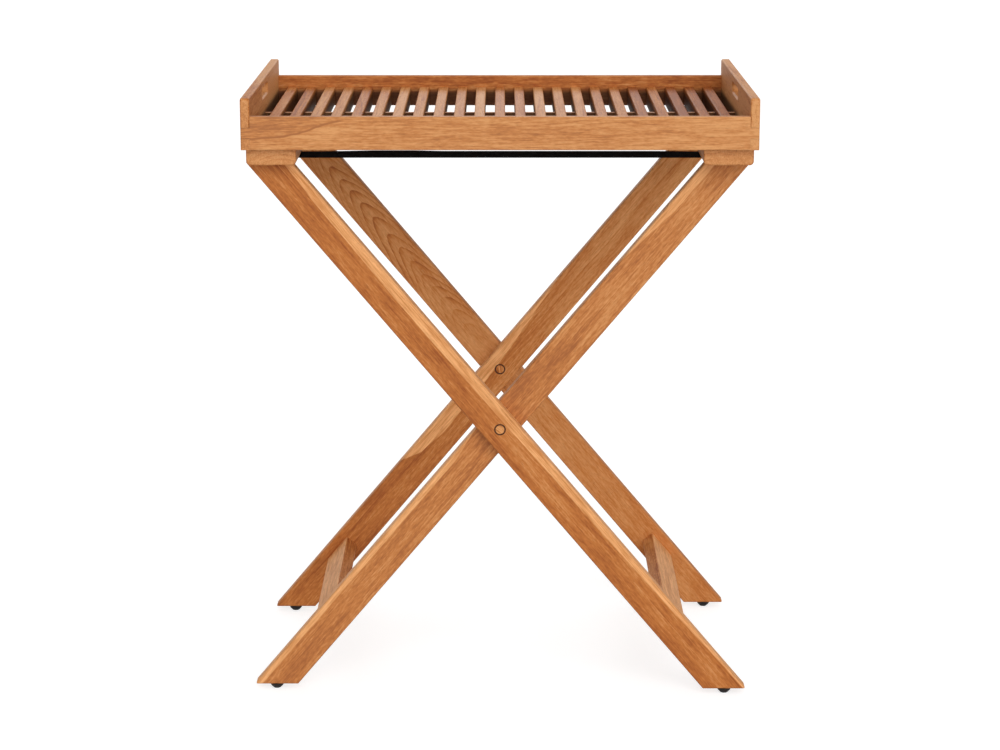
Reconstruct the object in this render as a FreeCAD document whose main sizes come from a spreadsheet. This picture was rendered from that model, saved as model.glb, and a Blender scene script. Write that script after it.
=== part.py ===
import FreeCAD, Part
import os
import Sketcher

# A folding tray table: a slatted tray that lifts off an X-frame stand.
# Millimetres, +Z up, floor at z = 0, origin on the floor under the tray's middle.
# The front is towards -Y. Going up, the outer frame's legs lean to -X and the inner frame's to +X.

doc = FreeCAD.newDocument("TrayTable")
sheet = doc.addObject("Spreadsheet::Sheet", "Dims")

# Driving dimensions. Lengths are in millimetres and the angle in degrees.
SIZES = (
    # Tray
    ("tray_width", 620),
    ("tray_depth", 433),
    ("board_thickness", 11),
    ("tray_rail_height", 40.2),
    ("end_board_height", 62),
    ("end_corner_radius", 5),
    ("handle_length", 86),
    ("handle_height", 12),
    ("handle_top_margin", 11),
    ("handle_chamfer", 1.8),
    # Slats and the batten under them
    ("slat_width", 13),
    ("slat_height", 22),
    ("slat_lift", 3),
    ("slat_tenon_length", 5),
    ("slat_tenon_shoulder", 3),
    ("slat_tenon_cheek", 2.5),
    ("slat_chamfer", 1),
    ("batten_width", 8),
    ("batten_height", 14.5),
    # Stand
    ("stand_height", 699),
    ("leg_width", 42),
    ("leg_thickness", 18),
    ("leg_toe_radius", 1.5),
    ("leg_tenon_length", 12),
    ("leg_tenon_shoulder", 9),
    ("leg_tenon_cheek", 5),
    ("top_rail_width", 60),
    ("top_rail_thickness", 20),
    ("top_rail_side_setback", 5),
    ("top_rail_end_setback", 11.5),
    ("top_rail_overhang", 21),
    ("top_rail_inset", 4.6),
    ("top_rail_corner_radius", 5),
    ("stretcher_width", 42),
    ("stretcher_thickness", 18),
    ("stretcher_height", 86),
    ("stretcher_tenon_length", 9),
    ("stretcher_tenon_shoulder", 4),
    # Pivots
    ("pivot_raise", 3),
    ("bolt_diameter", 6),
    ("bolt_head_diameter", 10),
    ("bolt_head_height", 4),
    ("bolt_end_length", 0.5),
    ("nut_diameter", 10),
    ("nut_height", 5),
    ("plug_diameter", 12.4),
    ("plug_thickness", 4),
    ("plug_gap", 0.3),
    ("plug_inner_gap", 0.5),
    ("running_gap", 0.05),
    # Feet
    ("glide_diameter", 18),
    ("glide_height", 7),
    ("glide_chamfer", 4.5),
    ("glide_ease", 1.6),
    ("glide_pin_diameter", 4),
    ("glide_pin_length", 12),
    # Straps and tacks
    ("strap_width", 50),
    ("strap_thickness", 1.6),
    ("strap_leg_gap", 14),
    ("strap_lap", 46),
    ("tack_margin", 20),
    ("tack_spacing", 26),
    ("tack_head_diameter", 9),
    ("tack_head_height", 2),
    ("tack_shank_width", 2.4),
    ("tack_shank_length", 12),
    # Common to all pieces
    ("edge_radius", 1.5),
    ("edge_chamfer", 1.2),
    ("joint_gap", 0.1),
    ("tenon_end_gap", 0.5),
)
for row, (alias, value) in enumerate(SIZES, start=1):
    sheet.set(f"A{row}", alias)
    sheet.set(f"B{row}", str(value))
    sheet.setAlias(f"B{row}", alias)
doc.recompute()

LEFT, RIGHT = -1, 1
FRONT, BACK = -1, 1
OUTER, INNER = -1, 1  # the way each frame's legs lean in x as they go up
PLACES = (("front", FRONT), ("back", BACK))
FRAMES = (("outer", OUTER), ("inner", INNER))
SLAT_COUNT = 23
TACKS_ACROSS_STRAP = 2
HEX_CORNERS = 6
FINGER_SHARE = 1 / 3  # each finger of a corner joint, as a share of the rail's height
NEAR_SHARE = 1e-5  # how near two places count as one, as a share of the tray's width
NEAR = sheet.get("tray_width") * NEAR_SHARE
SEED = 1.0  # a start value in sketches: each real value follows an expression

# Worked-out sizes and places, as expressions of the driving dimensions.
FINGER = f"(Dims.tray_rail_height * {FINGER_SHARE})"
INNER_WIDTH = "(Dims.tray_width - 2 * Dims.board_thickness)"
INNER_DEPTH = "(Dims.tray_depth - 2 * Dims.board_thickness)"
HANDLE_LEVEL = "(Dims.end_board_height - Dims.handle_top_margin - Dims.handle_height / 2)"
SLAT_GAP = f"(({INNER_WIDTH} - {SLAT_COUNT} * Dims.slat_width) / {SLAT_COUNT + 1})"
SLAT_PITCH = f"({SLAT_GAP} + Dims.slat_width)"
SLAT_RUN = f"({SLAT_PITCH} * {SLAT_COUNT - 1})"
SLAT_TENON_HALF_WIDTH = "(Dims.slat_width / 2 - Dims.slat_tenon_cheek)"
SLAT_TENON_HALF_HEIGHT = "(Dims.slat_height / 2 - Dims.slat_tenon_shoulder)"
RAIL_UNDERSIDE = "(Dims.stand_height - Dims.top_rail_thickness)"
RAIL_MIDDLE = "(Dims.tray_width / 2 - Dims.top_rail_side_setback - Dims.top_rail_width / 2)"
RAIL_LENGTH = "(Dims.tray_depth - 2 * Dims.top_rail_end_setback)"
OUTER_FRAME_DEPTH = f"({RAIL_LENGTH} - 2 * Dims.top_rail_overhang)"
PIVOT_LEVEL = f"(({RAIL_UNDERSIDE} + Dims.glide_height) / 2 + Dims.pivot_raise)"
LEG_REACH = f"({RAIL_MIDDLE} + Dims.top_rail_inset)"
LEG_RISE = f"({RAIL_UNDERSIDE} - {PIVOT_LEVEL})"
LEG_LENGTH = f"sqrt({LEG_REACH} ^ 2 + {LEG_RISE} ^ 2)"
LEG_SINE = f"({LEG_REACH} / {LEG_LENGTH})"
LEG_COSINE = f"({LEG_RISE} / {LEG_LENGTH})"
LEG_HALF_LEVEL = f"(Dims.leg_width / 2 / {LEG_COSINE})"
LEG_TENON_HALF_LENGTH = f"({LEG_HALF_LEVEL} - Dims.leg_tenon_shoulder)"
LEG_TENON_THICKNESS = "(Dims.leg_thickness - 2 * Dims.leg_tenon_cheek)"
OUTER_LEG_MIDDLE = f"({OUTER_FRAME_DEPTH} / 2 - Dims.leg_thickness / 2)"
INNER_LEG_MIDDLE = f"({OUTER_LEG_MIDDLE} - Dims.leg_thickness)"
LEG_MIDDLE = {OUTER: OUTER_LEG_MIDDLE, INNER: INNER_LEG_MIDDLE}
HEAD_BORE_DEPTH = "(Dims.plug_thickness + Dims.bolt_head_height)"
NUT_BORE_DEPTH = (
    "(Dims.plug_thickness + Dims.plug_inner_gap + Dims.bolt_end_length + Dims.nut_height)"
)
SHANK_END = "(2 * Dims.leg_thickness - Dims.plug_thickness - Dims.plug_inner_gap)"
STRAP_MIDDLE = (
    f"({INNER_LEG_MIDDLE} - Dims.leg_thickness / 2 - Dims.strap_leg_gap - Dims.strap_width / 2)"
)
STRAP_END = f"({RAIL_MIDDLE} - Dims.top_rail_width / 2 + Dims.strap_lap)"
TACK_PLACE = f"({STRAP_END} - Dims.tack_margin)"
TACK_HOLE_HALF = "(Dims.tack_shank_width / 2 + Dims.running_gap)"

bodies = []


# Helpers for expressions, sketches and features

def signed(side, text):
    """An expression taken to the -1 or +1 side."""
    return f"{side} * ({text})"


def leg_centre(lean, level):
    """The x of a leg's centre line at a level."""
    return f"({lean} * ({level} - {PIVOT_LEVEL}) * {LEG_REACH} / {LEG_RISE})"


def near(first, second):
    """Whether two places count as one."""
    return abs(first - second) < NEAR


def new_body(label, **base):
    """Start a sub-part; base gives expressions for the x, y and z of its Placement."""
    body = doc.addObject("PartDesign::Body", label)
    body.Label = label
    for axis, text in base.items():
        body.setExpression(f"Placement.Base.{axis}", text)
    bodies.append(body)
    return body


def origin_item(body, role):
    """One of the body's own planes or axes."""
    return next(item for item in body.Origin.OriginFeatures if item.Role == role)


def new_sketch(body, name, role, offset=None):
    """Start a sketch on one of the body's planes, moved along the plane's normal."""
    sketch = body.newObject("Sketcher::SketchObject", f"{body.Name}_{name}")
    sketch.AttachmentSupport = [(origin_item(body, role), "")]
    sketch.MapMode = "FlatFace"
    if offset:
        sketch.setExpression("AttachmentOffset.Base.z", offset)
    return sketch


def bind(sketch, constraint, text):
    """Add a constraint whose value follows an expression."""
    index = sketch.addConstraint(constraint)
    sketch.setExpression(f"Constraints[{index}]", text)


def place_point(sketch, geometry, end, point):
    """Hold one point of the sketch at a pair of expressions, measured from its origin."""
    across, up = point
    bind(sketch, Sketcher.Constraint("DistanceX", -1, 1, geometry, end, SEED), across)
    bind(sketch, Sketcher.Constraint("DistanceY", -1, 1, geometry, end, SEED), up)


def outline(sketch, points):
    """Draw a closed outline of straight lines through points given as expressions."""
    first = sketch.GeometryCount
    count = len(points)
    for step in range(count):
        start = FreeCAD.Vector(step, step * step, 0)
        end = FreeCAD.Vector(step + 1, (step + 1) * (step + 1), 0)
        sketch.addGeometry(Part.LineSegment(start, end), False)
    for step in range(count):
        after = first + (step + 1) % count
        sketch.addConstraint(Sketcher.Constraint("Coincident", first + step, 2, after, 1))
    for step, point in enumerate(points):
        place_point(sketch, first + step, 1, point)


def rectangle(sketch, middle, half_across, half_up):
    """Draw a rectangle about a middle point."""
    across, up = middle
    outline(sketch, [
        (f"{across} - {half_across}", f"{up} - {half_up}"),
        (f"{across} + {half_across}", f"{up} - {half_up}"),
        (f"{across} + {half_across}", f"{up} + {half_up}"),
        (f"{across} - {half_across}", f"{up} + {half_up}"),
    ])


def slanted_rectangle(sketch, lean, level, half_along, half_across):
    """Draw a rectangle along a leg, about the leg's centre line at a level."""
    points = []
    for along, across in ((-1, -1), (1, -1), (1, 1), (-1, 1)):
        points.append((
            f"{leg_centre(lean, level)} + {along * lean} * {half_along} * {LEG_SINE}"
            f" + {across} * {half_across} * {LEG_COSINE}",
            f"{level} + {along} * {half_along} * {LEG_COSINE}"
            f" - {across * lean} * {half_across} * {LEG_SINE}",
        ))
    outline(sketch, points)


def circle(sketch, middle, diameter):
    """Draw a circle about a middle point."""
    seed = Part.Circle(FreeCAD.Vector(), FreeCAD.Vector(0, 0, 1), SEED)
    index = sketch.addGeometry(seed, False)
    place_point(sketch, index, 3, middle)
    bind(sketch, Sketcher.Constraint("Diameter", index, SEED), diameter)


def pad(sketch, length, symmetric=True, reverse=False):
    """Pad a sketch, by default to both sides of its plane."""
    body = sketch.getParentGeoFeatureGroup()
    feature = body.newObject("PartDesign::Pad", f"{sketch.Name}_pad")
    feature.Profile = sketch
    feature.SideType = "Symmetric" if symmetric else "One side"
    feature.Reversed = reverse
    feature.setExpression("Length", length)
    doc.recompute()
    return feature


def pocket(sketch, depth=None, reverse=False):
    """Cut a sketch to a depth, or right through, and check that it cut."""
    body = sketch.getParentGeoFeatureGroup()
    before = body.Shape.Volume
    feature = body.newObject("PartDesign::Pocket", f"{sketch.Name}_pocket")
    feature.Profile = sketch
    feature.Reversed = reverse
    if depth:
        feature.setExpression("Length", depth)
    else:
        feature.Type = "ThroughAll"
        feature.SideType = "Symmetric"
    doc.recompute()
    if not body.Shape.Volume < before:
        raise RuntimeError(f"{sketch.Name} cut nothing")
    return feature


def sketch_on_side(body, name, face, thickness):
    """Start a sketch on the -y or +y face of an upright board."""
    return new_sketch(body, name, "XZ_Plane", signed(-face, f"{thickness} / 2"))


def repeat_across(body, feature, run, count):
    """Repeat a feature along the body's x."""
    copies = body.newObject("PartDesign::LinearPattern", f"{feature.Name}_pattern")
    copies.Originals = [feature]
    copies.Direction = (origin_item(body, "X_Axis"), [""])
    copies.setExpression("Length", run)
    copies.Occurrences = count
    body.Tip = copies
    doc.recompute()


def soften(body, kind, size, chosen):
    """Round or chamfer the edges whose middle point passes a test."""
    base = body.Tip
    names = []
    for index, edge in enumerate(base.Shape.Edges, start=1):
        if chosen(edge.valueAt((edge.FirstParameter + edge.LastParameter) / 2)):
            names.append(f"Edge{index}")
    if not names:
        raise RuntimeError(f"{body.Label} has no such edge")
    feature = body.newObject(f"PartDesign::{kind}", f"{body.Name}_{kind}")
    feature.Base = (base, names)
    feature.setExpression("Radius" if kind == "Fillet" else "Size", size)
    doc.recompute()


# The tray

def tray_rail(label, side):
    """A long side: a finger at each end, and a blind mortise for each slat."""
    body = new_body(
        label,
        y=signed(side, "Dims.tray_depth / 2 - Dims.board_thickness / 2"),
        z="Dims.stand_height",
    )
    tip = "Dims.tray_width / 2"
    root = f"{INNER_WIDTH} / 2"
    low = f"{FINGER} + Dims.joint_gap"
    high = f"2 * {FINGER} - Dims.joint_gap"
    half = [(root, "0"), (root, low), (tip, low), (tip, high), (root, high)]
    half.append((root, "Dims.tray_rail_height"))
    other_half = [(f"-({across})", up) for across, up in reversed(half)]
    board = new_sketch(body, "board", "XZ_Plane")
    outline(board, half + other_half)
    pad(board, "Dims.board_thickness")

    end_place = sheet.get("tray_width") / 2
    face_place = side * sheet.get("board_thickness") / 2
    levels = (0, sheet.get("tray_rail_height"))
    soften(body, "Fillet", "Dims.edge_radius", lambda middle: (
        near(middle.x, 0) and any(near(middle.z, level) for level in levels)
        or near(abs(middle.x), end_place) and near(middle.y, face_place)
    ))

    mortise = sketch_on_side(body, "mortise", -side, "Dims.board_thickness")
    rectangle(
        mortise,
        (f"-{SLAT_RUN} / 2", "Dims.slat_lift + Dims.slat_height / 2"),
        f"({SLAT_TENON_HALF_WIDTH} + Dims.joint_gap)",
        f"({SLAT_TENON_HALF_HEIGHT} + Dims.joint_gap)",
    )
    depth = "Dims.slat_tenon_length + Dims.tenon_end_gap"
    cut = pocket(mortise, depth, reverse=side == FRONT)
    repeat_across(body, cut, SLAT_RUN, SLAT_COUNT)


def tray_end(label, side):
    """An end board: fingers above and below the rail's, round top corners and a handle slot."""
    body = new_body(
        label,
        x=signed(side, "Dims.tray_width / 2 - Dims.board_thickness / 2"),
        z="Dims.stand_height",
    )
    tip = "Dims.tray_depth / 2"
    root = f"{INNER_DEPTH} / 2"
    half = [(tip, "0"), (tip, FINGER), (root, FINGER), (root, f"2 * {FINGER}")]
    half += [(tip, f"2 * {FINGER}"), (tip, "Dims.end_board_height")]
    other_half = [(f"-({across})", up) for across, up in reversed(half)]
    board = new_sketch(body, "board", "YZ_Plane")
    outline(board, half + other_half)
    pad(board, "Dims.board_thickness")

    tip_place = sheet.get("tray_depth") / 2
    face_place = sheet.get("board_thickness") / 2
    top = sheet.get("end_board_height")
    soften(body, "Fillet", "Dims.end_corner_radius", lambda middle: (
        near(abs(middle.y), tip_place) and near(middle.z, top)
    ))

    handle = new_sketch(body, "handle", "YZ_Plane")
    middle_run = "(Dims.handle_length - Dims.handle_height) / 2"
    rectangle(handle, ("0", HANDLE_LEVEL), middle_run, "Dims.handle_height / 2")
    pocket(handle)
    for name, end in (("handle_near", FRONT), ("handle_far", BACK)):
        round_end = new_sketch(body, name, "YZ_Plane")
        circle(round_end, (signed(end, middle_run), HANDLE_LEVEL), "Dims.handle_height")
        pocket(round_end)
    handle_top = top - sheet.get("handle_top_margin")
    handle_bottom = handle_top - sheet.get("handle_height")
    soften(body, "Chamfer", "Dims.handle_chamfer", lambda middle: (
        near(abs(middle.x), face_place)
        and abs(middle.y) < sheet.get("handle_length")
        and handle_bottom - NEAR < middle.z < handle_top + NEAR
    ))
    finger_top = sheet.get("tray_rail_height") * FINGER_SHARE
    soften(body, "Chamfer", "Dims.edge_chamfer", lambda middle: (
        near(abs(middle.x), face_place) and near(middle.z, top)
        or near(middle.x, side * face_place) and near(abs(middle.y), tip_place)
        and middle.z < finger_top
    ))


def slat(number):
    """A slat that runs front to back, with stub tenons and a notch over the batten."""
    body = new_body(
        f"slat_{number:02d}",
        x=f"{SLAT_PITCH} * {number - 1} - {SLAT_RUN} / 2",
        z="Dims.stand_height + Dims.slat_lift",
    )
    end = f"{INNER_DEPTH} / 2"
    notch = "Dims.batten_width / 2 + Dims.joint_gap"
    half = [(notch, "Dims.batten_height"), (notch, "0"), (end, "0"), (end, "Dims.slat_height")]
    other_half = [(f"-({across})", up) for across, up in reversed(half)]
    bar = new_sketch(body, "bar", "YZ_Plane")
    outline(bar, half + other_half)
    pad(bar, "Dims.slat_width")

    tenons = new_sketch(body, "tenons", "YZ_Plane")
    for side in (FRONT, BACK):
        rectangle(
            tenons,
            (f"{side} * ({end} + Dims.slat_tenon_length / 2)", "Dims.slat_height / 2"),
            "Dims.slat_tenon_length / 2",
            SLAT_TENON_HALF_HEIGHT,
        )
    pad(tenons, f"2 * {SLAT_TENON_HALF_WIDTH}")

    top = sheet.get("slat_height")
    soften(body, "Chamfer", "Dims.slat_chamfer", lambda middle: (
        near(middle.y, 0) and near(middle.z, top)
    ))


def batten():
    """The cross batten that the slats are notched over, between the end boards."""
    body = new_body("tray_batten", z="Dims.stand_height + Dims.slat_lift")
    section = new_sketch(body, "section", "YZ_Plane")
    rectangle(section, ("0", "Dims.batten_height / 2"), "Dims.batten_width / 2",
              "Dims.batten_height / 2")
    pad(section, INNER_WIDTH)


# The stand's wooden pieces

def leg(label, lean, side):
    """A leg: tenon at the top, stretcher mortise, stepped pivot bore and glide hole."""
    body = new_body(label, y=signed(side, LEG_MIDDLE[lean]))
    foot = leg_centre(lean, "Dims.glide_height")
    head = leg_centre(lean, RAIL_UNDERSIDE)
    blank = new_sketch(body, "blank", "XZ_Plane")
    outline(blank, [
        (f"{foot} - {LEG_HALF_LEVEL}", "Dims.glide_height"),
        (f"{foot} + {LEG_HALF_LEVEL}", "Dims.glide_height"),
        (f"{head} + {LEG_HALF_LEVEL}", RAIL_UNDERSIDE),
        (f"{head} - {LEG_HALF_LEVEL}", RAIL_UNDERSIDE),
    ])
    pad(blank, "Dims.leg_thickness")

    bottom = sheet.get("glide_height")
    top = sheet.get("stand_height") - sheet.get("top_rail_thickness")
    face_place = sheet.get("leg_thickness") / 2
    soften(body, "Fillet", "Dims.leg_toe_radius", lambda middle: (
        near(middle.y, 0) and near(middle.z, bottom)
    ))
    soften(body, "Chamfer", "Dims.edge_chamfer", lambda middle: (
        near(abs(middle.y), face_place) and not near(middle.z, top)
    ))

    tenon = new_sketch(body, "tenon", "XZ_Plane")
    rectangle(tenon, (head, f"{RAIL_UNDERSIDE} + Dims.leg_tenon_length / 2"),
              LEG_TENON_HALF_LENGTH, "Dims.leg_tenon_length / 2")
    pad(tenon, LEG_TENON_THICKNESS)

    pivot = ("0", PIVOT_LEVEL)
    bore_face = side if lean == OUTER else -side
    if lean == OUTER:
        inner_bore, inner_depth = "Dims.bolt_head_diameter", HEAD_BORE_DEPTH
    else:
        inner_bore, inner_depth = "Dims.nut_diameter", NUT_BORE_DEPTH
    hole = new_sketch(body, "hole", "XZ_Plane")
    circle(hole, pivot, "Dims.bolt_diameter + 2 * Dims.running_gap")
    pocket(hole)
    for name, diameter, depth in (
        ("bore", inner_bore, inner_depth),
        ("plug_seat", "Dims.plug_diameter", "Dims.plug_thickness"),
    ):
        bore = sketch_on_side(body, name, bore_face, "Dims.leg_thickness")
        circle(bore, pivot, f"{diameter} + 2 * Dims.plug_gap")
        pocket(bore, depth, reverse=bore_face > 0)

    mortise = sketch_on_side(body, "mortise", -side, "Dims.leg_thickness")
    slanted_rectangle(
        mortise, lean, "Dims.stretcher_height",
        "(Dims.stretcher_width / 2 - Dims.stretcher_tenon_shoulder + Dims.joint_gap)",
        "(Dims.stretcher_thickness / 2 - Dims.stretcher_tenon_shoulder + Dims.joint_gap)",
    )
    pocket(mortise, "Dims.stretcher_tenon_length + Dims.tenon_end_gap", reverse=side == FRONT)

    pin = new_sketch(body, "pin", "XY_Plane", "Dims.glide_height")
    circle(pin, (foot, "0"), "Dims.glide_pin_diameter + 2 * Dims.running_gap")
    pocket(pin, "Dims.glide_pin_length + Dims.tenon_end_gap", reverse=True)


def tack_places(side):
    """The y of each tack across the strap on one side."""
    middle = (TACKS_ACROSS_STRAP - 1) / 2
    for number in range(TACKS_ACROSS_STRAP):
        yield f"{signed(side, STRAP_MIDDLE)} + {number - middle} * Dims.tack_spacing"


def top_rail(label, lean):
    """The bar across the tops of a frame's legs, which carries the tray."""
    body = new_body(label, x=signed(lean, RAIL_MIDDLE), z=RAIL_UNDERSIDE)
    section = new_sketch(body, "section", "XZ_Plane")
    rectangle(section, ("0", "Dims.top_rail_thickness / 2"), "Dims.top_rail_width / 2",
              "Dims.top_rail_thickness / 2")
    pad(section, RAIL_LENGTH)
    top = sheet.get("top_rail_thickness")
    end_place = sheet.get("tray_depth") / 2 - sheet.get("top_rail_end_setback")
    for size, level in (("Dims.top_rail_corner_radius", 0), ("Dims.edge_radius", top)):
        soften(body, "Fillet", size, lambda middle: (
            near(middle.y, 0) and near(middle.z, level)
        ))
    soften(body, "Chamfer", "Dims.edge_chamfer", lambda middle: near(abs(middle.y), end_place))

    mortises = new_sketch(body, "mortises", "XY_Plane")
    tack_holes = new_sketch(body, "tack_holes", "XY_Plane")
    for side in (FRONT, BACK):
        rectangle(
            mortises,
            (signed(lean, "Dims.top_rail_inset"), signed(side, LEG_MIDDLE[lean])),
            f"({LEG_TENON_HALF_LENGTH} + Dims.joint_gap)",
            f"({LEG_TENON_THICKNESS} / 2 + Dims.joint_gap)",
        )
        for place in tack_places(side):
            rectangle(tack_holes, (signed(lean, f"{TACK_PLACE} - {RAIL_MIDDLE}"), place),
                      TACK_HOLE_HALF, TACK_HOLE_HALF)
    pocket(mortises, "Dims.leg_tenon_length + Dims.tenon_end_gap", reverse=True)
    tack_depth = "Dims.tack_shank_length - Dims.strap_thickness + Dims.tenon_end_gap"
    pocket(tack_holes, tack_depth, reverse=True)


def stretcher(label, lean):
    """The low bar between a frame's legs, with a tenon in each leg."""
    body = new_body(label)
    length = f"(2 * {LEG_MIDDLE[lean]} - Dims.leg_thickness)"
    half_width = "Dims.stretcher_width / 2"
    half_thickness = "Dims.stretcher_thickness / 2"
    bar = new_sketch(body, "bar", "XZ_Plane")
    slanted_rectangle(bar, lean, "Dims.stretcher_height", half_width, half_thickness)
    pad(bar, length)
    soften(body, "Fillet", "Dims.edge_radius", lambda middle: near(middle.y, 0))
    tenon = new_sketch(body, "tenon", "XZ_Plane")
    slanted_rectangle(
        tenon, lean, "Dims.stretcher_height",
        f"({half_width} - Dims.stretcher_tenon_shoulder)",
        f"({half_thickness} - Dims.stretcher_tenon_shoulder)",
    )
    pad(tenon, f"{length} + 2 * Dims.stretcher_tenon_length")


# Pivots: distances run in from the outer face of the outer leg

def pivot_sketch(body, name, side, start):
    """Start an upright sketch at a distance in from one outer leg's outer face."""
    offset = signed(-side, f"{OUTER_FRAME_DEPTH} / 2 - {start}")
    return new_sketch(body, name, "XZ_Plane", offset)


def pivot_bolts():
    """The two bolts, each through a pair of legs."""
    body = new_body("pivot_bolts", z=PIVOT_LEVEL)
    for place, side in PLACES:
        for name, diameter, start, end in (
            ("head", "Dims.bolt_head_diameter", "Dims.plug_thickness", HEAD_BORE_DEPTH),
            ("shank", "Dims.bolt_diameter", HEAD_BORE_DEPTH, SHANK_END),
        ):
            section = pivot_sketch(body, f"{place}_{name}", side, start)
            circle(section, ("0", "0"), diameter)
            pad(section, f"{end} - {start}", symmetric=False, reverse=side == FRONT)


def pivot_nuts():
    """The two hexagon nuts, sunk in the inner legs."""
    body = new_body("pivot_nuts", z=PIVOT_LEVEL)
    turns = [360 / HEX_CORNERS * corner for corner in range(HEX_CORNERS)]
    for place, side in PLACES:
        start = f"(2 * Dims.leg_thickness - {NUT_BORE_DEPTH})"
        section = pivot_sketch(body, place, side, start)
        outline(section, [
            (f"Dims.nut_diameter / 2 * cos({turn})", f"Dims.nut_diameter / 2 * sin({turn})")
            for turn in turns
        ])
        circle(section, ("0", "0"), "Dims.bolt_diameter + 2 * Dims.running_gap")
        pad(section, "Dims.nut_height", symmetric=False, reverse=side == FRONT)


def plug(label, lean, side):
    """The round wooden plug over a bolt head or a nut, flush with the leg's face."""
    if lean == OUTER:
        face, way = f"{OUTER_FRAME_DEPTH} / 2", -side
    else:
        face, way = f"{INNER_LEG_MIDDLE} - Dims.leg_thickness / 2", side
    body = new_body(label, y=signed(side, face), z=PIVOT_LEVEL)
    section = new_sketch(body, "section", "XZ_Plane")
    circle(section, ("0", "0"), "Dims.plug_diameter")
    pad(section, "Dims.plug_thickness", symmetric=False, reverse=way > 0)


# Feet, straps and tacks

def glides(label, lean):
    """A frame's two domed feet, each with a pin up into its leg."""
    body = new_body(label, x=leg_centre(lean, "Dims.glide_height"))
    feet = new_sketch(body, "feet", "XY_Plane")
    pins = new_sketch(body, "pins", "XY_Plane", "Dims.glide_height")
    for side in (FRONT, BACK):
        circle(feet, ("0", signed(side, LEG_MIDDLE[lean])), "Dims.glide_diameter")
        circle(pins, ("0", signed(side, LEG_MIDDLE[lean])), "Dims.glide_pin_diameter")
    pad(feet, "Dims.glide_height", symmetric=False)
    soften(body, "Chamfer", "Dims.glide_chamfer", lambda middle: near(middle.z, 0))
    rim = sheet.get("glide_chamfer")
    soften(body, "Chamfer", "Dims.glide_ease", lambda middle: near(middle.z, rim))
    pad(pins, "Dims.glide_pin_length", symmetric=False)


def strap(label, side):
    """A webbing strap, stretched under both top rails."""
    body = new_body(
        label, y=signed(side, STRAP_MIDDLE), z=f"{RAIL_UNDERSIDE} - Dims.strap_thickness"
    )
    band = new_sketch(body, "band", "XY_Plane")
    rectangle(band, ("0", "0"), STRAP_END, "Dims.strap_width / 2")
    for lean in (OUTER, INNER):
        for place in tack_places(side):
            rectangle(band, (signed(lean, TACK_PLACE), f"{place} - {signed(side, STRAP_MIDDLE)}"),
                      TACK_HOLE_HALF, TACK_HOLE_HALF)
    pad(band, "Dims.strap_thickness", symmetric=False)


def strap_tacks(label, lean):
    """The tacks that hold the strap ends to one top rail."""
    body = new_body(
        label, x=signed(lean, TACK_PLACE), z=f"{RAIL_UNDERSIDE} - Dims.strap_thickness"
    )
    heads = new_sketch(body, "heads", "XY_Plane")
    shanks = new_sketch(body, "shanks", "XY_Plane")
    for side in (FRONT, BACK):
        for place in tack_places(side):
            circle(heads, ("0", place), "Dims.tack_head_diameter")
            rectangle(shanks, ("0", place), "Dims.tack_shank_width / 2", "Dims.tack_shank_width / 2")
    pad(heads, "Dims.tack_head_height", symmetric=False, reverse=True)
    pad(shanks, "Dims.tack_shank_length", symmetric=False)


# Build every piece

tray_rail("tray_front_rail", FRONT)
tray_rail("tray_back_rail", BACK)
tray_end("tray_left_end", LEFT)
tray_end("tray_right_end", RIGHT)
for slat_number in range(1, SLAT_COUNT + 1):
    slat(slat_number)
batten()

for frame, frame_lean in FRAMES:
    for place, place_side in PLACES:
        leg(f"{frame}_{place}_leg", frame_lean, place_side)
        plug(f"{frame}_{place}_plug", frame_lean, place_side)
    top_rail(f"{frame}_top_rail", frame_lean)
    stretcher(f"{frame}_stretcher", frame_lean)
    glides(f"{frame}_glides", frame_lean)
    strap_tacks(f"{frame}_strap_tacks", frame_lean)

pivot_bolts()
pivot_nuts()
for place, place_side in PLACES:
    strap(f"{place}_strap", place_side)

# Check everything, then write one STEP file for each piece

doc.recompute()
for item in doc.Objects:
    if "Invalid" in item.State or "Error" in item.State:
        raise RuntimeError(f"{item.Label} did not build: {item.State}")
os.makedirs("parts", exist_ok=True)
for body in bodies:
    if body.Shape.isNull() or not body.Shape.isValid():
        raise RuntimeError(f"{body.Label} has no valid shape")
    body.Shape.exportStep(f"parts/{body.Label}.step")
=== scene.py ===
"""Looks of a folding slatted tray table: teak, dark plastic glides, steel and black webbing."""

import math

import bmesh
import bpy
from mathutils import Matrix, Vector


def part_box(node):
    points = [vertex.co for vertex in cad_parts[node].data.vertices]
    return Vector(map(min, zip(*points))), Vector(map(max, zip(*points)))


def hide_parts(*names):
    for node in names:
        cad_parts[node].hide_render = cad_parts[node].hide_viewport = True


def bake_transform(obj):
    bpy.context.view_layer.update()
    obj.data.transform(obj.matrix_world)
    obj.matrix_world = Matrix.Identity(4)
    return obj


MM = 0.001
NUMBER = "NodeSocketFloat"
VECTOR = "NodeSocketVector"
COLOUR = "NodeSocketColor"
X, Y, Z = (1.0, 0.0, 0.0), (0.0, 1.0, 0.0), (0.0, 0.0, 1.0)
TO_LEFT, TO_FRONT = (-1.0, 0.0, 0.0), (0.0, -1.0, 0.0)

# Places and sizes on the part, in millimetres.
PIVOT_LEVEL = 346.0
PLUG_RIM = 6.35
LEG_WIDTH = 42.0
LEG_RUN, LEG_RISE = 279.6, 333.0
LEG_LEAN = math.atan2(LEG_RUN, LEG_RISE)
STRETCHER_LEVEL = 86.0
STRETCHER_SIDE = 218.3
# How far out the stretchers' upper wide faces are, which have painted light all over.
STRETCHER_LIT_FACE = 9.0
TOP_RAIL_LEVEL = 689.0
TOP_RAIL_SIDE = 275.0
RAIL_LEVEL = 719.1
RAIL_DEPTH = 211.0
END_LEVEL = 730.0
END_SIDE = 304.5
BATTEN_LEVEL = 709.3
SLAT_COUNT = 23
SLAT_FIRST = -280.04
SLAT_PITCH = 25.458
SLAT_TOP = 724.0

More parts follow.
